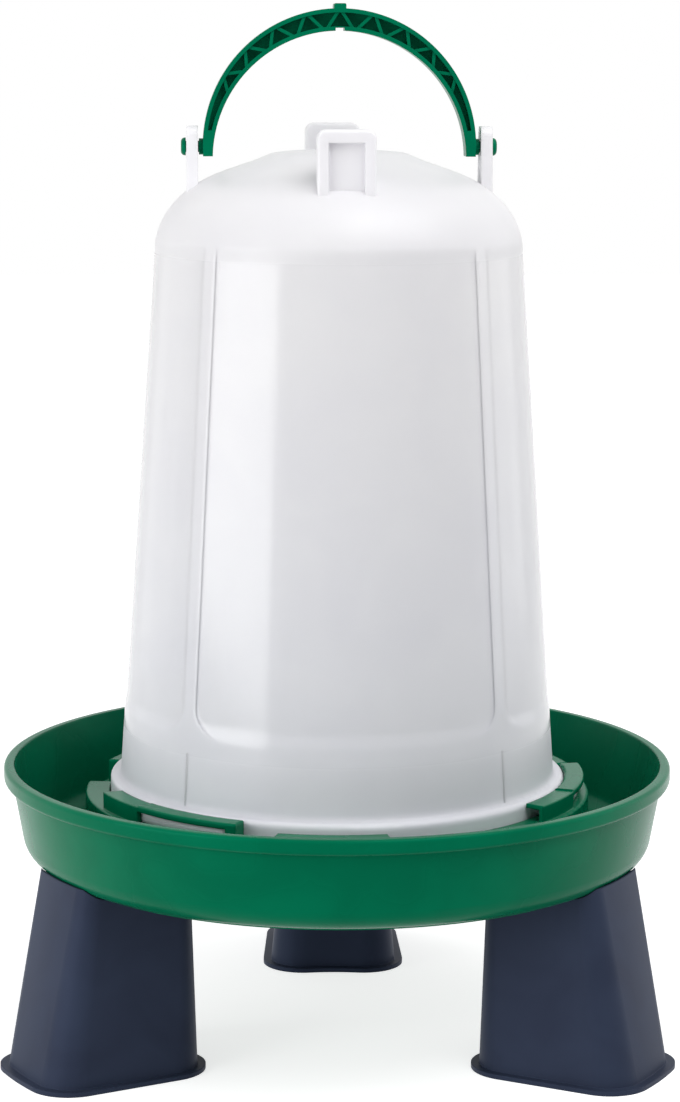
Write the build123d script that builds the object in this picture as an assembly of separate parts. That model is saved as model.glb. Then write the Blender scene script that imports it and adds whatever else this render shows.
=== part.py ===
from build123d import *
from math import asin, cos, degrees, radians, sin, sqrt, tan
import os

# A free-standing water drinker for poultry, in millimetres.
# The reservoir stands on its open mouth in a round tray and lets water out until the mouth is covered.
# The frame has +Z up and z = 0 on the ground, Z is the reservoir's axis, and the handle's pins lie along X.
# The tray and its legs are made with one leg towards +Y.
# They are then turned by tray_turn to where the photograph has them.

# Legs
leg_count = 3
leg_height = 104.0
leg_wall = 2.5
leg_splay = 10.0
leg_depth = 94.4
leg_inner_half_width = 39.4
leg_outer_half_width = 36.1
leg_corner = 20.0
leg_outer_lean = 21.6
leg_inner_lean = 2.2
leg_inner_taper = 12.0
leg_outer_taper = 4.6
leg_corner_taper = 9.0
cradle_height = 6.8
cradle_gap = 0.4
foot_flange_width = 4.5
foot_flange_height = 2.6
grip_width = 34.0
grip_height = 16.0
grip_gap = 0.5

# Tray
tray_turn = -2.0
rim_radius = 190.0
tray_depth = 54.7
tray_wall = 2.5
wall_lean = 10.2
bead_width = 3.0
bead_height = 8.6
bead_round = 2.0
tray_corner_share = 0.44
foot_ring_inset = 12.6
foot_ring_width = 6.0
foot_ring_height = 1.5

# Collar ring that the reservoir stands in
ledge_drop = 16.8
seat_depth = 6.5
seat_width = 12.0
basin_depth = 12.0
basin_lean = 5.0
ledge_margin = 2.6
ring_draft = 2.5

# Bayonet blocks on the collar ring, measured anticlockwise from the start of each block
block_count = 3
block_start = -158.0
block_angle = 44.5
block_closed_angle = 16.5
block_end_wall_angle = 2.5
block_height = 10.0
block_roof = 3.2
block_step = 0.8
block_round = 1.2
outlet_end_angle = 93.0
outlet_depth = 8.0
guard_start_angle = 53.0
guard_end_angle = 79.0
guard_height = 5.0
guard_gap = 1.4

# Reservoir
mouth_radius = 129.4
mouth_gap = 0.7
seat_gap = 0.3
skirt_height = 15.5
flange_width = 5.6
flange_round = 1.5
reservoir_wall = 2.6
cone_height = 295.1
cone_taper = 3.95
knuckle_inset = 7.2
knuckle_rise = 23.3
crown_inset = 31.8
crown_rise = 43.3
cap_inset = 57.4
cap_rise = 52.6
dome_height = 57.9
panel_recess = 0.6
panel_count = 4
panel_start = 46.7
panel_step_height = 7.0
panel_corner = 15.0
rib_width = 12.0

# Bayonet lugs on the reservoir's skirt
lug_reach = 8.5
lug_thickness = 5.0
lug_side_gap = 0.8
lug_under_gap = 0.6
lug_stop_gap_angle = 0.6
lug_angle = 36.0

# Feet on the dome, level with the posts, so that the reservoir can stand upside down while it is filled
foot_rise = 13.3
foot_width = 31.5
foot_outer_radius = 82.5
foot_depth = 15.0
foot_round = 5.0
foot_rib_width = 6.0
foot_recess = 3.0
foot_recess_margin = 7.0

# Posts that carry the handle
post_gap = 2.7
post_thickness = 6.4
post_top_width = 16.0
post_base_width = 24.0
post_round = 5.0
post_recess = 2.6
post_recess_margin = 3.0

# Carry handle
pin_drop = 11.4
pin_diameter = 6.2
pin_gap = 0.2
collar_diameter = 9.0
head_diameter = 9.9
head_thickness = 2.7
head_round = 2.2
head_gap = 0.3
handle_side_gap = 0.6
handle_radius = 75.7
handle_breadth = 16.0
handle_depth_at_pin = 5.8
handle_depth_at_top = 12.2
handle_end_drop = 5.2
handle_flange = 2.3
handle_web = 2.4
handle_solid_end = 9.0
truss_width = 1.8
truss_pitch_angle = 7.3
truss_nodes = 9
truss_inset = 1.0
knob_width = 6.8
knob_height = 2.7
notch_width = 5.0
notch_depth = 1.6

# Heights and radii that follow from the sizes above
rim_z = leg_height + tray_depth
floor_under_z = leg_height + foot_ring_height
floor_z = floor_under_z + tray_wall
ledge_z = rim_z - ledge_drop
seat_z = ledge_z - seat_depth
basin_z = seat_z - basin_depth
ring_inner = mouth_radius + mouth_gap
lug_radius = mouth_radius + lug_reach
tunnel_outer = lug_radius + lug_side_gap
block_outer = tunnel_outer + tray_wall
ring_outer = block_outer + ledge_margin
ring_foot = ring_outer + (ledge_z - floor_z) * tan(radians(ring_draft))
wall_top_radius = rim_radius - bead_width
wall_floor_radius = wall_top_radius - (rim_z - floor_under_z) * tan(radians(wall_lean))
tray_corner = (wall_floor_radius - ring_foot) * tray_corner_share
foot_ring_radius = wall_floor_radius - foot_ring_inset
leg_outer_radius = rim_radius + leg_splay
leg_inner_radius = leg_outer_radius - leg_depth
block_top_z = ledge_z + block_height
roof_under_z = block_top_z - block_roof
mouth_z = seat_z + seat_gap
flange_z = mouth_z + skirt_height
shoulder_z = flange_z + cone_height
apex_z = shoulder_z + dome_height
cone_foot_radius = mouth_radius - flange_width
cone_slope = tan(radians(cone_taper))
shoulder_radius = cone_foot_radius - cone_height * cone_slope
panel_z = flange_z + panel_start
foot_top_z = apex_z + foot_rise
pin_z = foot_top_z - pin_drop
post_inner_x = handle_radius + post_gap
lug_z = ledge_z + lug_under_gap
cradle_z = leg_height + cradle_height
handle_top_inner = handle_radius - handle_depth_at_top
handle_pin_inner = handle_radius - handle_depth_at_pin
handle_inner_drop = (handle_pin_inner**2 - handle_top_inner**2) / (2 * handle_top_inner)
handle_inner_radius = handle_top_inner + handle_inner_drop


def thicken(points, thickness):
    """Give the other side of a wall whose one side follows the points, with mitred corners."""
    normals = []
    for a, b in zip(points[:-1], points[1:]):
        run, rise = b[0] - a[0], b[1] - a[1]
        length = sqrt(run * run + rise * rise)
        normals.append((rise / length, -run / length))
    normals = [normals[0]] + normals + [normals[-1]]
    other = []
    for point, before, after in zip(points, normals[:-1], normals[1:]):
        mitre = thickness / (1 + before[0] * after[0] + before[1] * after[1])
        other.append((point[0] + (before[0] + after[0]) * mitre, point[1] + (before[1] + after[1]) * mitre))
    return other


def nearest(shape, x, y):
    """Find the corner of a flat outline that lies nearest to a point."""
    return shape.vertices().sort_by_distance(Vector(x, y, 0))[0]


def spun(outline):
    """Turn an outline drawn as (radius, height) about the Z axis."""
    return revolve(Rot(90, 0, 0) * outline, Axis.Z)


def on_circle(radius, angle):
    """The point of a circle about the Z axis at an angle in degrees."""
    return (radius * cos(radians(angle)), radius * sin(radians(angle)))


def ring_sector(inner, outer, start, end, low, high):
    """A piece of a flat ring between two radii, two angles and two heights."""
    middle = (start + end) / 2
    edges = ThreePointArc(on_circle(inner, start), on_circle(inner, middle), on_circle(inner, end)).edges()
    edges += Line(on_circle(inner, end), on_circle(outer, end)).edges()
    edges += ThreePointArc(on_circle(outer, end), on_circle(outer, middle), on_circle(outer, start)).edges()
    edges += Line(on_circle(outer, start), on_circle(inner, start)).edges()
    face = make_face(edges)
    return Pos(0, 0, low) * extrude(face, high - low, dir=(0, 0, 1))


def sector_outline(inner, outer, inner_half, outer_half, corner):
    """A leg's outline seen from above, with two faces curved about the tray's axis and round corners."""
    turn_in = asin(inner_half / inner)
    turn_out = asin(outer_half / outer)
    inner_ends = [(inner * sin(s * turn_in), inner * cos(turn_in)) for s in (-1, 1)]
    outer_ends = [(outer * sin(s * turn_out), outer * cos(turn_out)) for s in (-1, 1)]
    edges = ThreePointArc(inner_ends[0], (0, inner), inner_ends[1]).edges()
    edges += Line(inner_ends[1], outer_ends[1]).edges()
    edges += ThreePointArc(outer_ends[1], (0, outer), outer_ends[0]).edges()
    edges += Line(outer_ends[0], inner_ends[0]).edges()
    outline = make_face(edges)
    return fillet(outline.vertices(), corner)


def leg_outline(share, inset):
    """The leg's outline at a share of its height, drawn in by an inset."""
    return sector_outline(
        leg_inner_radius + leg_inner_lean * share + inset,
        leg_outer_radius - leg_outer_lean * share - inset,
        leg_inner_half_width - leg_inner_taper * share - inset,
        leg_outer_half_width - leg_outer_taper * share - inset,
        leg_corner - leg_corner_taper * share - inset,
    )


def tray_underside(gap):
    """The space that the tray's outer wall and rounded lower corner fill, grown by a gap."""
    lean = tan(radians(wall_lean))
    low = floor_under_z - gap
    outline = Polygon(
        (0, low),
        (wall_floor_radius + gap - gap * lean, low),
        (wall_top_radius + gap, rim_z),
        (0, rim_z),
        align=None,
    )
    outline = fillet(nearest(outline, wall_floor_radius + gap, low), tray_corner + gap)
    foot_low = leg_height
    foot_ring = Rectangle(foot_ring_radius + gap, rim_z - foot_low, align=(Align.MIN, Align.MIN))
    foot_ring = Pos(0, foot_low) * foot_ring
    return spun(outline) + spun(foot_ring)


def make_leg():
    """A hollow leg, open at the foot, with a cradle for the tray's round corner and a rib that grips it."""
    body = loft([Pos(0, 0, 0) * leg_outline(0, 0), Pos(0, 0, cradle_z) * leg_outline(1, 0)], ruled=True)
    body += extrude(offset(leg_outline(0, 0), foot_flange_width), foot_flange_height)
    body -= tray_underside(cradle_gap)
    cavity_top = leg_height - leg_wall
    cavity = loft(
        [leg_outline(0, leg_wall), Pos(0, 0, cavity_top) * leg_outline(cavity_top / cradle_z, leg_wall)],
        ruled=True,
    )
    grip_top = leg_height + grip_height
    grip_outer = ring_foot - tray_wall - grip_gap - (grip_top - floor_z) * tan(radians(ring_draft))
    grip = ring_sector(grip_outer - leg_wall, grip_outer, 0, 180, cavity_top, grip_top)
    grip &= Pos(0, grip_outer, 0) * Box(grip_width, 2 * grip_outer, 4 * leg_height)
    return body - cavity + grip


def tray_wall_outline():
    """The tray's wall, floor, collar ring, seat and basin as one thin section with a beaded rim."""
    lean = tan(radians(wall_lean))
    skin = tray_wall / cos(radians(wall_lean))
    outside = [
        (wall_top_radius + tray_wall * lean, rim_z + tray_wall),
        (wall_floor_radius, floor_under_z),
        (ring_foot - tray_wall, floor_under_z),
        (ring_outer - tray_wall, ledge_z - tray_wall),
        (ring_inner + tray_wall, ledge_z - tray_wall),
        (ring_inner + tray_wall, seat_z - tray_wall),
        (ring_inner - seat_width, seat_z - tray_wall),
        (ring_inner - seat_width - basin_lean, basin_z - tray_wall),
        (0, basin_z - tray_wall),
    ]
    inside = thicken(outside, tray_wall)
    section = Polygon(*outside, *reversed(inside), align=None)
    section &= Rectangle(rim_radius, rim_z, align=(Align.MIN, Align.MIN))
    section = fillet(nearest(section, wall_floor_radius, floor_under_z), tray_corner)
    inner_corner = nearest(section, wall_floor_radius - skin + tray_wall * lean, floor_z)
    section = fillet(inner_corner, tray_corner - tray_wall)
    section = fillet(nearest(section, ring_foot, floor_z), block_round)
    section = fillet(nearest(section, ring_outer, ledge_z), block_round)
    bead_low = rim_z - bead_height
    bead_inner = wall_top_radius - skin
    bead = Pos(bead_inner, bead_low) * Rectangle(
        rim_radius - bead_inner, bead_height, align=(Align.MIN, Align.MIN)
    )
    bead &= Polygon(
        (bead_inner - bead_height * lean, bead_low),
        (rim_radius + bead_width, bead_low),
        (rim_radius + bead_width, rim_z),
        (bead_inner, rim_z),
        align=None,
    )
    outer_corners = bead.vertices().sort_by(Axis.X)[-2:]
    bead = fillet(outer_corners, bead_round)
    foot_inner = foot_ring_radius - foot_ring_width
    foot = Pos(foot_inner, leg_height) * Rectangle(
        foot_ring_width, foot_ring_height + tray_wall / 2, align=(Align.MIN, Align.MIN)
    )
    return section + bead + foot


def make_tray():
    """The drinking tray, with bayonet blocks, outlets and splash guards repeated round its collar ring."""
    tray = spun(tray_wall_outline())
    for index in range(block_count):
        start = block_start + 360 / block_count * index
        end = start + block_angle
        outlet = ring_sector(ring_inner - tray_wall, ring_foot + tray_wall, end, start + outlet_end_angle,
                             ledge_z - outlet_depth, ledge_z + block_height)
        outlet_floor_z = ledge_z - outlet_depth
        trench = ring_sector(ring_inner - seat_width / 2, ring_outer, end, start + outlet_end_angle,
                             outlet_floor_z - tray_wall, outlet_floor_z)
        tray = tray - outlet + trench
        guard = ring_sector(ring_inner + guard_gap, block_outer, start + guard_start_angle,
                            start + guard_end_angle, outlet_floor_z, ledge_z + guard_height)
        tray += fillet(guard.edges().group_by(Axis.Z)[-1], block_round)
        block = ring_sector(ring_inner, block_outer, start, end, ledge_z - tray_wall, block_top_z)
        block = fillet(block.edges().group_by(Axis.Z)[-1], block_round)
        block -= ring_sector(ring_inner - 1, block_outer + 1, start - 1, start + block_closed_angle,
                             block_top_z - block_step, block_top_z + 1)
        tunnel = ring_sector(ring_inner - 1, tunnel_outer, start - 1, end - block_end_wall_angle,
                             ledge_z, roof_under_z)
        window = ring_sector(ring_inner, block_outer + 1, start + block_closed_angle,
                             end - block_end_wall_angle, ledge_z, roof_under_z)
        tray += block - tunnel - window
    return tray


def crown_curve(inset):
    """The line from the cone's top over the shoulder to the middle of the dome, moved in by an inset."""
    knots = [
        (shoulder_radius, shoulder_z),
        (shoulder_radius - knuckle_inset, shoulder_z + knuckle_rise),
        (shoulder_radius - crown_inset, shoulder_z + crown_rise),
        (shoulder_radius - cap_inset, shoulder_z + cap_rise),
        (0, apex_z),
    ]
    ends = ((-cone_slope, 1), (-1, 0))
    curve = Spline(*knots, tangents=ends)
    if inset == 0:
        return curve
    moved = []
    for knot in knots:
        along = curve.tangent_at(curve.param_at_point(Vector(*knot)))
        moved.append((max(0, knot[0] - along.Y * inset), knot[1] + along.X * inset))
    return Spline(*moved, tangents=ends)


def reservoir_outline(inset, mouth_low):
    """Half of the reservoir's section, drawn in by an inset to give the cavity."""
    curve = crown_curve(inset)
    shoulder = curve @ 0
    skirt_radius = mouth_radius - inset
    step_z = flange_z - inset
    cone_radius = shoulder.X + (shoulder.Y - step_z) * cone_slope
    top = curve @ 1
    edges = curve.edges()
    edges += Line(top, (0, mouth_low)).edges()
    edges += Line((0, mouth_low), (skirt_radius, mouth_low)).edges()
    edges += Line((skirt_radius, mouth_low), (skirt_radius, step_z)).edges()
    edges += Line((skirt_radius, step_z), (cone_radius, step_z)).edges()
    edges += Line((cone_radius, step_z), shoulder).edges()
    outline = make_face(edges)
    outline = fillet(nearest(outline, skirt_radius, step_z), flange_round)
    return fillet(nearest(outline, cone_radius, step_z), flange_round)


def outer_radius(height):
    """The cone's outside radius at a height."""
    return cone_foot_radius - (height - flange_z) * cone_slope


def make_panels():
    """Four shallow recesses in the cone that leave upright ribs between them and fade into the shoulder."""
    high = shoulder_z + knuckle_rise
    step_low = panel_z - panel_step_height
    reach = 2 * mouth_radius
    layer = spun(
        Polygon(
            (outer_radius(panel_z) - panel_recess, panel_z),
            (outer_radius(step_low), step_low),
            (reach, step_low - (reach - outer_radius(step_low)) * panel_step_height / panel_recess),
            (reach, high),
            (outer_radius(high) - panel_recess, high),
            align=None,
        )
    )
    half = radians(180 / panel_count)
    low = step_low - panel_corner

    def half_width(height):
        return outer_radius(height) * sin(half) - rib_width / 2 * cos(half)

    window = Polygon(
        (-half_width(low), low),
        (half_width(low), low),
        (half_width(high), high),
        (-half_width(high), high),
        align=None,
    )
    window = Pos(0, panel_corner, 0) * window
    window = fillet(window.vertices().sort_by(Axis.Y)[:2], panel_corner)
    prism = extrude(Rot(90, 0, 0) * window, reach)
    cutter = None
    for index in range(panel_count):
        one = Rot(0, 0, 360 / panel_count * index) * prism & layer
        cutter = one if cutter is None else cutter + one
    return cutter


def make_foot():
    """One of the two feet on the dome, a block whose outer face is hollowed between two round-edged ribs."""
    low = shoulder_z + knuckle_rise
    height = foot_top_z - low
    middle = foot_outer_radius - foot_depth / 2
    body = Pos(0, -middle, low + height / 2) * Box(foot_width, foot_depth, height)
    body = fillet(body.edges().filter_by(Axis.Y).group_by(Axis.Z)[-1], foot_round)
    body = fillet(body.edges().filter_by(Axis.Z), min(foot_rib_width, foot_depth) / 4)
    recess_width = foot_width - 2 * foot_rib_width
    recess_top = foot_top_z - foot_recess_margin
    recess = Pos(0, -foot_outer_radius, (recess_top + low) / 2) * Box(
        recess_width, 2 * foot_recess, recess_top - low
    )
    return body - recess


def make_post():
    """The post at +X, a tapered plate with a hole for the handle's pin and a hollow in its outer face."""
    low = shoulder_z + knuckle_rise
    height = foot_top_z - low
    face = Pos(0, low + height / 2) * Trapezoid(post_base_width, height, 90 - degrees(
        asin((post_base_width - post_top_width) / 2 / height)))
    face = fillet(face.vertices().sort_by(Axis.Y)[-2:], post_round)
    plate = Pos(post_inner_x, 0, 0) * extrude(Plane.YZ * face, post_thickness, dir=(1, 0, 0))
    recess_top = pin_z - head_diameter / 2 - post_recess_margin
    recess_low = shoulder_z + crown_rise - post_recess_margin
    recess_width = post_top_width - 2 * post_recess_margin
    recess = Pos(post_inner_x + post_thickness, 0, (recess_top + recess_low) / 2) * Box(
        2 * post_recess, recess_width, recess_top - recess_low
    )
    hole = Pos(post_inner_x + post_thickness / 2, 0, pin_z) * Rot(0, 90, 0) * Cylinder(
        pin_diameter / 2 + pin_gap, 4 * post_thickness
    )
    return plate - recess - hole


def make_reservoir():
    """The open-bottomed reservoir with its skirt, bayonet lugs, ribs, feet and posts, all one moulding."""
    body = spun(reservoir_outline(0, mouth_z)) - make_panels()
    for turn in (0, 180):
        body += Rot(0, 0, turn) * make_foot()
        body += Rot(0, 0, turn) * make_post()
    for index in range(block_count):
        start = tray_turn + block_start + 360 / block_count * index
        lug_end = start + block_angle - block_end_wall_angle - lug_stop_gap_angle
        lug = ring_sector(mouth_radius - reservoir_wall, lug_radius, lug_end - lug_angle, lug_end,
                          lug_z, lug_z + lug_thickness)
        body += lug
    return body - spun(reservoir_outline(reservoir_wall, mouth_z - reservoir_wall))


def handle_outline(edge):
    """The handle's arched outline about the pins' line, drawn in by an edge."""
    return Circle(handle_radius - edge) - Pos(0, -handle_inner_drop) * Circle(handle_inner_radius + edge)


def truss_outline():
    """A zigzag of struts between the handle's two flanges."""
    nodes = []
    for index in range(-truss_nodes, truss_nodes + 1):
        angle = radians(truss_pitch_angle * index)
        if index % 2 == 0:
            reach = handle_radius
        else:
            across = handle_inner_drop * sin(angle)
            reach = sqrt(handle_inner_radius**2 - across**2) - handle_inner_drop * cos(angle)
        nodes.append((reach * sin(angle), reach * cos(angle)))
    return trace(Polyline(*nodes), truss_width)


def make_handle():
    """The carry handle, an arched channel stiffened by a zigzag on both faces, with its pins moulded on."""
    above = Rectangle(4 * handle_radius, 4 * handle_radius, align=(Align.CENTER, Align.MIN))
    above = Pos(0, -handle_end_drop) * above
    bow = handle_outline(0) & above
    knob = Pos(0, handle_radius) * Rectangle(knob_width, 2 * knob_height)
    knob = fillet(knob.vertices().sort_by(Axis.Y)[-2:], knob_height / 3)
    bow = bow + (knob - Circle(handle_radius - handle_flange))
    bow -= Pos(0, handle_top_inner) * Rectangle(notch_width, 2 * notch_depth)
    flat = Rot(90, 0, 0) * bow
    handle = Pos(0, handle_breadth / 2, 0) * extrude(flat, handle_breadth, dir=(0, -1, 0))
    open_part = Pos(0, handle_solid_end) * Rectangle(
        4 * handle_radius, 4 * handle_radius, align=(Align.CENTER, Align.MIN)
    )
    pocket = handle_outline(handle_flange) & open_part
    pocket_depth = (handle_breadth - handle_web) / 2
    pocket_solid = extrude(Rot(90, 0, 0) * pocket, pocket_depth, dir=(0, -1, 0))
    cells = pocket - truss_outline()
    cells_solid = extrude(Rot(90, 0, 0) * cells, pocket_depth, dir=(0, -1, 0))
    trim_solid = Pos(0, -pocket_depth + truss_inset, 0) * pocket_solid
    side = Pos(0, -handle_web / 2, 0) * (cells_solid + trim_solid)
    handle -= side
    handle -= Rot(0, 0, 180) * side
    collar_low = handle_radius - handle_depth_at_pin / 2
    collar_high = post_inner_x - handle_side_gap
    neck_high = post_inner_x + post_thickness + head_gap
    for side_sign in (-1, 1):
        turn = Rot(0, 0, 0 if side_sign > 0 else 180)
        collar = Pos((collar_low + collar_high) / 2, 0, 0) * Rot(0, 90, 0) * Cylinder(
            collar_diameter / 2, collar_high - collar_low
        )
        neck = Pos((collar_low + neck_high) / 2, 0, 0) * Rot(0, 90, 0) * Cylinder(
            pin_diameter / 2, neck_high - collar_low
        )
        head = Cylinder(head_diameter / 2, head_thickness, align=(Align.CENTER, Align.CENTER, Align.MIN))
        head = fillet(head.edges().group_by(Axis.Z)[-1], head_round)
        head = Pos(neck_high, 0, 0) * Rot(0, 90, 0) * head
        handle += turn * (collar + neck + head)
    return Pos(0, 0, pin_z) * handle


def write(node, shape):
    """Save one part as a STEP file under its node's name."""
    export_step(shape, os.path.join("parts", node + ".step"))


def main():
    """Build every part in its place and save it."""
    os.makedirs("parts", exist_ok=True)
    turned = Rot(0, 0, tray_turn)
    write("reservoir", make_reservoir())
    write("carry_handle", make_handle())
    write("drinking_tray", turned * make_tray())
    leg = make_leg()
    for index, name in enumerate(("leg_rear", "leg_front_left", "leg_front_right")):
        write(name, turned * (Rot(0, 0, 360 / leg_count * index) * leg))


main()
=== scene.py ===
"""The looks of a poultry drinker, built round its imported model.

Lengths are in metres and in the model's own frame: Z is the reservoir's axis, and z = 0 is the ground.
"""

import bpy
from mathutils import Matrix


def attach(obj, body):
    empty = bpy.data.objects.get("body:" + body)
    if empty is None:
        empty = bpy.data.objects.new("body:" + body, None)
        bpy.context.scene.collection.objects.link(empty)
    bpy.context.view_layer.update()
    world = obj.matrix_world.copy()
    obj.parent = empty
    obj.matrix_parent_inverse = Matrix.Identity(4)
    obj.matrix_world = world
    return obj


bl_info = {
    "name": "Poultry drinker",
    "version": (1, 0, 0),
    "blender": (4, 5, 0),
    "location": "3D View > Sidebar > Drinker",
    "description": "Finishes for a poultry drinker, with its studio",
    "category": "Object",
}

from math import atan2, cos, pi, radians, sin

import bmesh
import bpy
from mathutils import Matrix, Vector

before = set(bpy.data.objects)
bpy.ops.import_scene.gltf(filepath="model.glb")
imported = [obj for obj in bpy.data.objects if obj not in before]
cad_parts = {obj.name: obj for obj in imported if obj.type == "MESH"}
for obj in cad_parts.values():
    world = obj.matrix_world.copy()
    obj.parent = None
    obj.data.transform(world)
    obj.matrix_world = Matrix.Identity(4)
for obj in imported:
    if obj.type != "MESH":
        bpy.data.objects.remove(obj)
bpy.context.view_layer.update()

MM = 0.001

# Height over which the soft edges of a plastic change from the low ones to the high ones
EDGE_BLEND = 5 * MM
# How far the roughness of a moulded skin wanders to each side
ROUGHNESS_SPREAD = 0.03
# The name of the node that gives a plastic its grain
GRAIN_BUMP = "grain_bump"

# The numbers of a colour Mix node's sockets, because their names repeat
MIX_SHARE, MIX_FIRST, MIX_SECOND = 0, 6, 7
MIX_RESULT = 2

# The camera's sensor, in mm across, and how far the camera sees, in metres
SENSOR = 36
FAR_CLIP = 50

# Angles are in degrees from the camera's side towards its left, energy is in watts
LAMPS = {
    # The jar's front panel mirrors it as the tall bright band
    "left_softbox": {
        "azimuth": 54.7, "distance": 1.5, "height": 0.5, "width": 1.05, "length": 0.8,
        "energy": 9.8, "aim_height": 0.5, "lean": -4.2,
    },
    # From behind on the left, for the left sides of the jar and the legs
    "left_edge_softbox": {
        "azimuth": 118, "distance": 1.5, "height": 0.45, "width": 1.0, "length": 0.9,
        "energy": 1.2, "aim_height": 0.3,
    },
    # From the right, for the right sides
    "right_softbox": {
        "azimuth": -105, "distance": 1.5, "height": 0.5, "width": 1.2, "length": 0.9,
        "energy": 2.5, "aim_height": 0.3,
    },
    # From above, for the dome and the inside of the tray
    "top_softbox": {
        "azimuth": -42, "distance": 0.7, "height": 1.35, "width": 1.0, "length": 0.9,
        "energy": 9, "aim_height": 0.45,
    },
}


def linear(hex_colour):
    """A colour written as sRGB hex, as the linear numbers that Blender's sockets take."""
    channels = [int(hex_colour[i : i + 2], 16) / 255 for i in (1, 3, 5)]
    return [c / 12.92 if c <= 0.04045 else ((c + 0.055) / 1.055) ** 2.4 for c in channels]


def colour_property(name, hex_colour, description):
    """A colour that a user may change."""
    return bpy.props.FloatVectorProperty(
        name=name, description=description, subtype="COLOR", size=3, min=0, max=1,
        default=linear(hex_colour),
    )


def length_property(name, default, description):
    """A length that a user may change."""
    return bpy.props.FloatProperty(
        name=name, description=description, default=default, min=0, unit="LENGTH"
    )


def share_property(name, default, description):
    """A share from 0 to 1 that a user may change."""
    return bpy.props.FloatProperty(
        name=name, description=description, default=default, min=0, max=1, subtype="FACTOR"
    )


def angle_property(name, default, description):
    """An angle that a user may change, in radians."""
    return bpy.props.FloatProperty(name=name, description=description, default=default, subtype="ANGLE")


def number_property(name, default, description, **limits):
    """A plain number that a user may change, within limits if it has them."""
    return bpy.props.FloatProperty(name=name, description=description, default=default, **limits)


class DrinkerReservoirLook(bpy.types.PropertyGroup):
    """The reservoir's plastic."""

    colour: colour_property("Colour", "#ebeaed", "Colour of the plastic in even light")
    band_colour: colour_property("Cloud colour", "#e7e6ea", "Colour where the plastic is a little thicker")
    band_size: length_property("Cloud size", 60 * MM, "Size of the soft clouds in the plastic")
    # Painted shade: near the foot the colour is multiplied by this faint bluish grey, for the light that
    # the tray keeps off
    painted_foot_shade: colour_property("Foot shade", "#f3f5f9", "What the plastic is tinted with near its foot")
    foot_low: length_property("Foot shade, low", 170 * MM, "Height below which the foot shade is full")
    foot_high: length_property("Foot shade, high", 480 * MM, "Height above which there is no foot shade")
    low_edge: length_property("Low edges", 5.5 * MM, "How softly the panels' edges turn")
    high_edge: length_property("High edges", 0.8 * MM, "How softly the posts' and the feet's edges turn")
    edge_change: length_property("Edge change", 460 * MM, "Height at which the edges change")
    roughness: share_property("Roughness", 0.17, "Roughness of the moulded skin")
    matt_more: share_property("Matt ends", 0.24, "How much rougher the skin is below and above the panels")
    matt_change: length_property("Matt change", 8 * MM, "Height over which the skin turns matt")
    panels_low: length_property("Panels, low end", 184 * MM, "Height at which the smooth panels begin")
    panels_high: length_property("Panels, high end", 444 * MM, "Height at which the smooth panels end")
    gloss: share_property("Gloss", 0.5, "Strength of the reflections")
    gloss_colour: colour_property("Gloss colour", "#ffffff", "Colour of the reflections")
    ior: number_property("Refraction", 1.54, "Index of refraction", min=1)
    scatter: share_property("Scatter", 0.6, "How much light spreads inside the plastic")
    scatter_reach: length_property("Scatter reach", 6 * MM, "How far light spreads inside the plastic")
    grain_size: length_property("Grain size", 0.9 * MM, "Size of the fine grain of the moulded skin")
    grain_depth: length_property("Grain depth", 0.004 * MM, "Depth of the fine grain")


class DrinkerMouldLines(bpy.types.PropertyGroup):
    """The fine ridges that the mould's joints leave at the four corners of the reservoir's foot."""

    corners: bpy.props.IntProperty(
        name="Corners", description="How many ridges there are", default=4, min=1
    )
    first_corner: angle_property("First corner", radians(45), "Where the first ridge stands")
    low: length_property("Low end", 152.6 * MM, "Height of the lower end")
    high: length_property("High end", 181.5 * MM, "Height of the upper end")
    low_radius: length_property("Low radius", 123.7 * MM, "The reservoir's radius at the lower end")
    high_radius: length_property("High radius", 121.7 * MM, "The reservoir's radius at the upper end")
    width: length_property("Width", 1.3 * MM, "Width across the ridge")
    proud: length_property("Height of the ridge", 0.2 * MM, "How far the ridge stands out")
    rooted: length_property("Root", 0.5 * MM, "How deep the ridge reaches into the wall")


class DrinkerGreenLook(bpy.types.PropertyGroup):
    """The green plastic of the tray and the handle."""

    colour: colour_property("Colour", "#006f4d", "Colour of the plastic in even light")
    band_colour: colour_property("Flow colour", "#006747", "Colour of the flow bands in the plastic")
    band_size: length_property("Flow size", 45 * MM, "Size of the flow bands")
    low_edge: length_property("Low edges", 1.6 * MM, "How softly the tray's edges turn")
    high_edge: length_property("High edges", 0.5 * MM, "How softly the handle's edges turn")
    edge_change: length_property("Edge change", 300 * MM, "Height at which the edges change")
    roughness: share_property("Roughness", 0.27, "Roughness of the moulded skin")
    gloss: share_property("Gloss", 0.12, "Strength of the reflections")
    gloss_colour: colour_property("Gloss colour", "#4ff0c8", "Colour of the reflections")
    ior: number_property("Refraction", 1.49, "Index of refraction", min=1)
    grain_size: length_property("Grain size", 0.8 * MM, "Size of the fine grain of the moulded skin")
    grain_depth: length_property("Grain depth", 0.005 * MM, "Depth of the fine grain")


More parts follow.
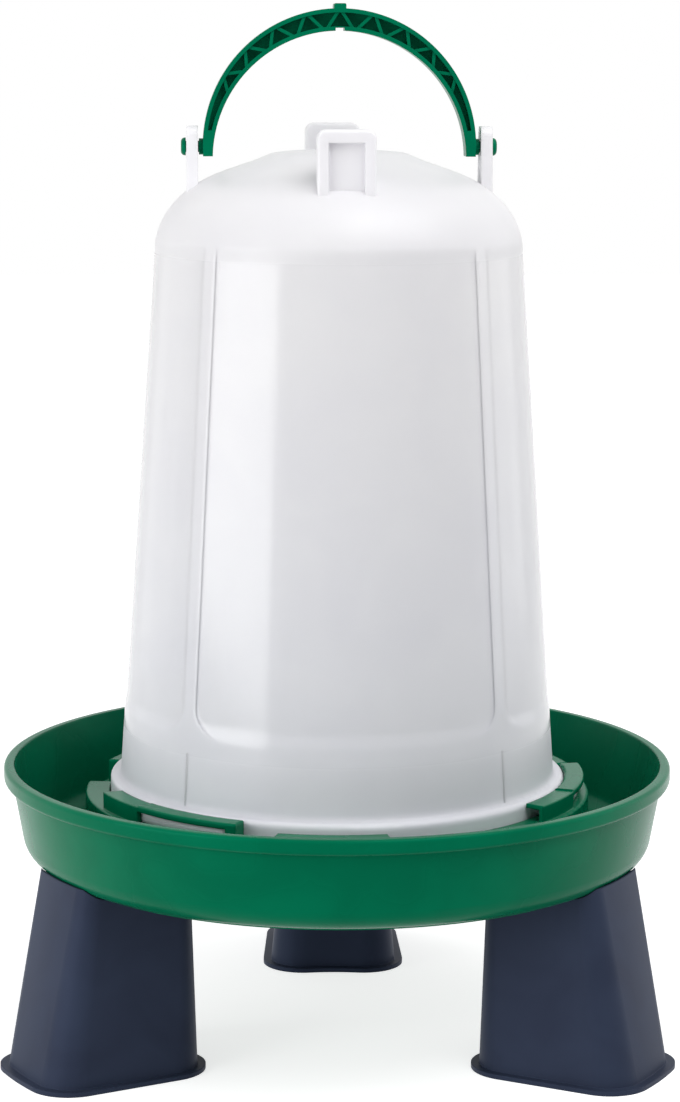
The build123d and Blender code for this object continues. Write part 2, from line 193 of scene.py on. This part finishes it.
class DrinkerLegLook(bpy.types.PropertyGroup):
    """The dark plastic of the legs."""

    colour: colour_property("Colour", "#2b3244", "Colour of the plastic in even light")
    band_colour: colour_property("Flow colour", "#30384b", "Colour of the flow bands in the plastic")
    band_size: length_property("Flow size", 40 * MM, "Size of the flow bands")
    low_edge: length_property("Low edges", 0.8 * MM, "How softly the foot flange's edges turn")
    high_edge: length_property("High edges", 1.2 * MM, "How softly the edges above the flange turn")
    edge_change: length_property("Edge change", 20 * MM, "Height at which the edges change")
    roughness: share_property("Roughness", 0.5, "Roughness of the moulded skin")
    gloss: share_property("Gloss", 0.17, "Strength of the reflections")
    gloss_colour: colour_property("Gloss colour", "#c8d4ff", "Colour of the reflections")
    ior: number_property("Refraction", 1.49, "Index of refraction", min=1)
    grain_size: length_property("Grain size", 0.8 * MM, "Size of the fine grain of the moulded skin")
    grain_depth: length_property("Grain depth", 0.005 * MM, "Depth of the fine grain")


class DrinkerStudioLook(bpy.types.PropertyGroup):
    """The camera, fitted to the photograph, the even light and the pale floor."""

    camera_distance: length_property("Camera distance", 1.73317, "From the axis to the camera, level")
    camera_height: length_property("Camera height", 0.560253, "Height of the camera above the ground")
    camera_turn: angle_property("Camera turn", radians(3), "How far the camera stands round from -Y")
    camera_tilt: angle_property("Camera tilt", 0.161165, "How far the camera looks down")
    camera_roll: angle_property("Camera roll", 0.003371, "The camera's small lean")
    lens: number_property("Lens", 101.096, "Focal length in mm", min=10)
    shift: number_property("Shift", 0.002075, "Sideways shift of the camera")
    world_strength: number_property("World", 0.49, "Strength of the even studio light", min=0)
    floor_size: length_property("Floor size", 12.0, "Side of the pale floor")
    floor_colour: colour_property("Floor colour", "#e0e0e0", "Colour of the floor's paint")
    floor_glow: number_property("Floor glow", 0.7, "How much paler the floor looks than its paint", min=0)


def look(name):
    """The property group that holds one piece's settings."""
    return getattr(bpy.context.scene, "drinker_" + name)


def node(tree, kind, settings=None, numbered=None, **inputs):
    """Adds a node with its own settings, and gives its inputs values or links, by number or by name."""
    made = tree.nodes.new(kind)
    for key, value in (settings or {}).items():
        setattr(made, key, value)
    named = {key.replace("_", " "): value for key, value in inputs.items()}
    for key, value in {**(numbered or {}), **named}.items():
        socket = made.inputs[key]
        if isinstance(value, bpy.types.NodeSocket):
            tree.links.new(value, socket)
        else:
            socket.default_value = value
    return made


def source(socket):
    """What feeds an input now, so that a further node can go between them."""
    return socket.links[0].from_socket


def rgba(colour):
    """A colour with full opacity."""
    return (*colour, 1.0)


def new_material(name):
    """An empty node material, with its tree."""
    material = bpy.data.materials.new(name)
    material.use_nodes = True
    material.node_tree.nodes.clear()
    return material, material.node_tree


def moulded_plastic(name, settings):
    """A plastic from a polished mould: soft bands of colour, a fine grain, soft edges and a satin gloss.

    It returns the material and its shader, so that a piece's own detail can be added.
    """
    material, tree = new_material(name)
    place = node(tree, "ShaderNodeTexCoord").outputs["Object"]
    bands = node(
        tree, "ShaderNodeTexNoise", Vector=place, Scale=1 / settings.band_size, Detail=2.0,
        Roughness=0.4, Distortion=0.6,
    ).outputs["Fac"]
    # The noise seldom leaves these two values, so both colours show in full.
    spread = node(tree, "ShaderNodeMapRange", Value=bands, From_Min=0.35, From_Max=0.65)
    colour = node(
        tree, "ShaderNodeMix", {"data_type": "RGBA"},
        {
            MIX_SHARE: spread.outputs["Result"],
            MIX_FIRST: rgba(settings.colour),
            MIX_SECOND: rgba(settings.band_colour),
        },
    )
    polish = node(
        tree, "ShaderNodeMapRange", Value=bands, To_Min=settings.roughness - ROUGHNESS_SPREAD,
        To_Max=settings.roughness + ROUGHNESS_SPREAD,
    )
    height = node(tree, "ShaderNodeSeparateXYZ", Vector=place).outputs["Z"]
    edge_round = node(
        tree, "ShaderNodeMapRange", Value=height, From_Min=settings.edge_change - EDGE_BLEND,
        From_Max=settings.edge_change, To_Min=settings.low_edge, To_Max=settings.high_edge,
    )
    edges = node(tree, "ShaderNodeBevel", {"samples": 8}, Radius=edge_round.outputs["Result"])
    grain = node(tree, "ShaderNodeTexNoise", Vector=place, Scale=1 / settings.grain_size, Detail=3.0)
    bump = node(
        tree, "ShaderNodeBump", {"name": GRAIN_BUMP}, Height=grain.outputs["Fac"], Strength=1.0,
        Distance=settings.grain_depth, Normal=edges.outputs["Normal"],
    )
    shader = node(
        tree, "ShaderNodeBsdfPrincipled", Base_Color=colour.outputs[MIX_RESULT],
        Roughness=polish.outputs["Result"], IOR=settings.ior, Specular_IOR_Level=settings.gloss,
        Specular_Tint=rgba(settings.gloss_colour), Normal=bump.outputs["Normal"],
    )
    node(tree, "ShaderNodeOutputMaterial", Surface=shader.outputs["BSDF"])
    return material, shader


def dress(node_name, material):
    """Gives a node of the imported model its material."""
    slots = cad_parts[node_name].data.materials
    slots.clear()
    slots.append(material)


def paint_foot_shade(tree, shader, height, settings):
    """Paints shade into the plastic's colour towards its foot, where the tray lets less light through."""
    shade = node(
        tree, "ShaderNodeMapRange", {"interpolation_type": "SMOOTHSTEP"}, Value=height,
        From_Min=settings.foot_low, From_Max=settings.foot_high, To_Min=1.0, To_Max=0.0,
    )
    base = shader.inputs["Base Color"]
    tinted = node(
        tree, "ShaderNodeMix", {"data_type": "RGBA", "blend_type": "MULTIPLY"},
        {
            MIX_SHARE: shade.outputs["Result"],
            MIX_FIRST: source(base),
            MIX_SECOND: rgba(settings.painted_foot_shade),
        },
    )
    tree.links.new(tinted.outputs[MIX_RESULT], base)


def matt_ends(tree, shader, height, settings):
    """Makes the skin rougher below and above the panels, where the mould is less polished."""
    middle = (settings.panels_low + settings.panels_high) / 2
    reach = settings.panels_high - middle
    offset = node(tree, "ShaderNodeMath", {"operation": "SUBTRACT"}, {0: height, 1: middle})
    distance = node(tree, "ShaderNodeMath", {"operation": "ABSOLUTE"}, {0: offset.outputs[0]})
    matt = node(
        tree, "ShaderNodeMapRange", {"interpolation_type": "SMOOTHSTEP"}, Value=distance.outputs[0],
        From_Min=reach, From_Max=reach + settings.matt_change, To_Min=0.0, To_Max=settings.matt_more,
    )
    rough = shader.inputs["Roughness"]
    total = node(
        tree, "ShaderNodeMath", {"operation": "ADD"}, {0: source(rough), 1: matt.outputs["Result"]}
    )
    tree.links.new(total.outputs[0], rough)


class DRINKER_OT_dress_reservoir(bpy.types.Operator):
    """Give the reservoir its translucent white plastic"""

    bl_idname = "drinker.dress_reservoir"
    bl_label = "Dress the reservoir"

    def execute(self, context):
        settings = look("reservoir")
        # High-density polyethylene, injection moulded: milky, so that light spreads in its wall and
        # shades softly, with a satin gloss that mirrors a lamp in the smooth panels only.
        plastic, shader = moulded_plastic("moulded_white_HDPE", settings)
        tree = plastic.node_tree
        place = node(tree, "ShaderNodeTexCoord").outputs["Object"]
        height = node(tree, "ShaderNodeSeparateXYZ", Vector=place).outputs["Z"]
        # Painted shade, darker towards the foot, where the tray keeps light off
        paint_foot_shade(tree, shader, height, settings)
        matt_ends(tree, shader, height, settings)
        shader.inputs["Subsurface Weight"].default_value = settings.scatter
        shader.inputs["Subsurface Radius"].default_value = (1.0, 1.0, 1.0)
        shader.inputs["Subsurface Scale"].default_value = settings.scatter_reach
        dress("reservoir", plastic)
        return {"FINISHED"}


def mould_ridge(settings):
    """One ridge on the +X side: a bar that leans with the wall, with round edges and a sunk upper end."""
    edge_share = 0.8
    height = settings.high - settings.low
    near_top = height * 0.48
    depth = settings.proud + settings.rooted
    lean = atan2(settings.low_radius - settings.high_radius, height)
    middle = (settings.low_radius + settings.high_radius + settings.proud - settings.rooted) / 2
    bpy.ops.mesh.primitive_cube_add(
        size=1,
        location=(middle, 0, (settings.low + settings.high) / 2),
        rotation=(0, -lean, 0),
        scale=(depth, settings.width, height),
    )
    ridge = bpy.context.object
    bpy.ops.object.transform_apply(location=False, rotation=False, scale=True)
    bpy.ops.object.mode_set(mode="EDIT")
    mesh = bmesh.from_edit_mesh(ridge.data)
    for edge in mesh.edges:
        edge.select_set(all(end.co.x > 0 for end in edge.verts))
    bmesh.update_edit_mesh(ridge.data)
    bpy.ops.mesh.bevel(offset=settings.proud * edge_share, segments=3)
    bpy.ops.mesh.select_all(action="DESELECT")
    mesh = bmesh.from_edit_mesh(ridge.data)
    for corner in mesh.verts:
        corner.select_set(corner.co.x > 0 and corner.co.z > near_top)
    mesh.select_flush(True)
    bmesh.update_edit_mesh(ridge.data)
    bpy.ops.transform.translate(value=(-settings.proud * cos(lean), 0, 0))
    bpy.ops.object.mode_set(mode="OBJECT")
    bpy.ops.object.shade_smooth_by_angle(angle=radians(40))
    bpy.ops.object.transform_apply(location=True, rotation=True, scale=True)
    return ridge


class DRINKER_OT_add_mould_lines(bpy.types.Operator):
    """Add the fine ridges that the mould's joints leave on the reservoir"""

    bl_idname = "drinker.add_mould_lines"
    bl_label = "Add the mould lines"

    def execute(self, context):
        settings = look("mould_lines")
        # The reservoir's own polyethylene, so that a ridge shows by its shape alone. It is finer than
        # the soft edges of the panels, so its plastic goes without them.
        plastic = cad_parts["reservoir"].data.materials[0].copy()
        plastic.name = "moulded_white_HDPE_line"
        tree = plastic.node_tree
        tree.links.remove(tree.nodes[GRAIN_BUMP].inputs["Normal"].links[0])
        bpy.ops.object.select_all(action="DESELECT")
        pattern = mould_ridge(settings)
        for index in range(settings.corners):
            ridge = pattern.copy()
            ridge.data = pattern.data.copy()
            context.collection.objects.link(ridge)
            ridge.name = "mould_line_%d" % (index + 1)
            turn = settings.first_corner + 2 * pi * index / settings.corners
            ridge.data.transform(Matrix.Rotation(turn, 4, "Z"))
            ridge.data.materials.append(plastic)
            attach(ridge, "reservoir")
        bpy.data.objects.remove(pattern)
        return {"FINISHED"}


class DRINKER_OT_dress_tray_and_handle(bpy.types.Operator):
    """Give the tray and the handle their green plastic"""

    bl_idname = "drinker.dress_tray_and_handle"
    bl_label = "Dress the tray and the handle"

    def execute(self, context):
        # Polypropylene, dyed through and injection moulded: an even deep green with a soft gloss, and
        # faint bands where it flowed into the mould.
        plastic, _ = moulded_plastic("moulded_green_polypropylene", look("green"))
        for name in ("drinking_tray", "carry_handle"):
            dress(name, plastic)
        return {"FINISHED"}


class DRINKER_OT_dress_legs(bpy.types.Operator):
    """Give the legs their dark plastic"""

    bl_idname = "drinker.dress_legs"
    bl_label = "Dress the legs"

    def execute(self, context):
        # Polypropylene, dyed slate blue and injection moulded in a rougher mould: dark and rather matt,
        # so that only broad soft reflections show.
        plastic, _ = moulded_plastic("moulded_slate_polypropylene", look("legs"))
        for name in ("leg_rear", "leg_front_left", "leg_front_right"):
            dress(name, plastic)
        return {"FINISHED"}


def softbox(name, azimuth, distance, height, width, length, energy, aim_height, lean=0.0):
    """A rectangular lamp that looks at a point on the reservoir's axis and isn't seen itself."""
    turn = look("studio").camera_turn + radians(azimuth)
    place = Vector((-distance * sin(turn), -distance * cos(turn), height))
    aim = Vector((0, 0, aim_height)) - place
    turned = aim.to_track_quat("-Z", "Y").to_matrix() @ Matrix.Rotation(radians(lean), 3, "Z")
    bpy.ops.object.light_add(type="AREA", location=place, rotation=turned.to_euler())
    lamp = bpy.context.object
    lamp.name = name
    lamp.data.shape = "RECTANGLE"
    lamp.data.size = width
    lamp.data.size_y = length
    lamp.data.energy = energy
    lamp.visible_camera = False


def background_share(tree):
    """1 for rays that see the background, in the view, in gloss or through glass, and 0 for light."""
    path = node(tree, "ShaderNodeLightPath")
    seen = path.outputs["Is Camera Ray"]
    for name in ("Is Glossy Ray", "Is Transmission Ray"):
        both = node(tree, "ShaderNodeMath", {"operation": "MAXIMUM"}, {0: seen, 1: path.outputs[name]})
        seen = both.outputs[0]
    return seen


def make_camera(settings):
    """The camera at the photograph's viewing angle."""
    turn = settings.camera_turn
    across = settings.camera_distance
    bpy.ops.object.camera_add(location=(-across * sin(turn), -across * cos(turn), settings.camera_height))
    camera = bpy.context.object
    camera.name = "photo_camera"
    turned = Matrix.Rotation(-turn, 3, "Z") @ Matrix.Rotation(pi / 2 - settings.camera_tilt, 3, "X")
    camera.rotation_euler = (turned @ Matrix.Rotation(settings.camera_roll, 3, "Z")).to_euler()
    camera.data.lens = settings.lens
    camera.data.sensor_width = SENSOR
    camera.data.shift_x = settings.shift
    camera.data.clip_end = FAR_CLIP
    bpy.context.scene.camera = camera


def make_world(settings):
    """An even pale light, which is seen as white."""
    world = bpy.data.worlds.new("pale_studio")
    bpy.context.scene.world = world
    world.use_nodes = True
    tree = world.node_tree
    tree.nodes.clear()
    strength = node(
        tree, "ShaderNodeMapRange", Value=background_share(tree), To_Min=settings.world_strength, To_Max=1.0
    )
    light = node(tree, "ShaderNodeBackground", Color=(1, 1, 1, 1), Strength=strength.outputs["Result"])
    node(tree, "ShaderNodeOutputWorld", Surface=light.outputs["Background"])


def make_floor(settings):
    """A wide pale floor, which keeps the drinker's shadow."""
    bpy.ops.mesh.primitive_plane_add(size=settings.floor_size, location=(0, 0, 0))
    floor = bpy.context.object
    floor.name = "floor"
    # Matt paint: it has no gloss, so only the soft shadow shows on it. Its glow makes it nearly white to
    # the eye, and shows on the drinker in reflections only.
    material, tree = new_material("pale_painted_floor")
    paint = node(tree, "ShaderNodeBsdfDiffuse", Color=rgba(settings.floor_colour))
    glow_strength = node(
        tree, "ShaderNodeMath", {"operation": "MULTIPLY"},
        {0: background_share(tree), 1: settings.floor_glow},
    )
    glow = node(tree, "ShaderNodeEmission", Color=(1, 1, 1, 1), Strength=glow_strength.outputs[0])
    both = node(tree, "ShaderNodeAddShader", None, {0: paint.outputs[0], 1: glow.outputs[0]})
    node(tree, "ShaderNodeOutputMaterial", Surface=both.outputs[0])
    floor.data.materials.append(material)


class DRINKER_OT_make_studio(bpy.types.Operator):
    """Make the camera, the lamps and the pale floor"""

    bl_idname = "drinker.make_studio"
    bl_label = "Make the studio"

    def execute(self, context):
        settings = look("studio")
        context.scene.view_settings.view_transform = "Standard"
        make_camera(settings)
        for name, lamp in LAMPS.items():
            softbox(name, **lamp)
        make_world(settings)
        make_floor(settings)
        return {"FINISHED"}


class DRINKER_PT_panel(bpy.types.Panel):
    """The drinker's settings and steps."""

    bl_label = "Poultry drinker"
    bl_space_type = "VIEW_3D"
    bl_region_type = "UI"
    bl_category = "Drinker"

    def draw(self, context):
        for name in LOOKS:
            box = self.layout.box()
            settings = look(name)
            for key in settings.bl_rna.properties.keys():
                if key not in ("rna_type", "name"):
                    box.prop(settings, key)
        for operator in OPERATORS:
            self.layout.operator(operator.bl_idname)


LOOKS = {
    "reservoir": DrinkerReservoirLook,
    "mould_lines": DrinkerMouldLines,
    "green": DrinkerGreenLook,
    "legs": DrinkerLegLook,
    "studio": DrinkerStudioLook,
}
OPERATORS = (
    DRINKER_OT_dress_reservoir,
    DRINKER_OT_add_mould_lines,
    DRINKER_OT_dress_tray_and_handle,
    DRINKER_OT_dress_legs,
    DRINKER_OT_make_studio,
)


def register():
    """Adds the settings, the steps and the panel."""
    for name, group in LOOKS.items():
        bpy.utils.register_class(group)
        setattr(bpy.types.Scene, "drinker_" + name, bpy.props.PointerProperty(type=group))
    for operator in OPERATORS:
        bpy.utils.register_class(operator)
    bpy.utils.register_class(DRINKER_PT_panel)


def unregister():
    """Takes them away again."""
    bpy.utils.unregister_class(DRINKER_PT_panel)
    for operator in reversed(OPERATORS):
        bpy.utils.unregister_class(operator)
    for name, group in reversed(LOOKS.items()):
        delattr(bpy.types.Scene, "drinker_" + name)
        bpy.utils.unregister_class(group)


def main():
    """Makes everything in order."""
    register()
    bpy.ops.object.select_all(action="DESELECT")
    for operator in OPERATORS:
        module, name = operator.bl_idname.split(".")
        getattr(getattr(bpy.ops, module), name)()


if __name__ == "__main__":
    main()
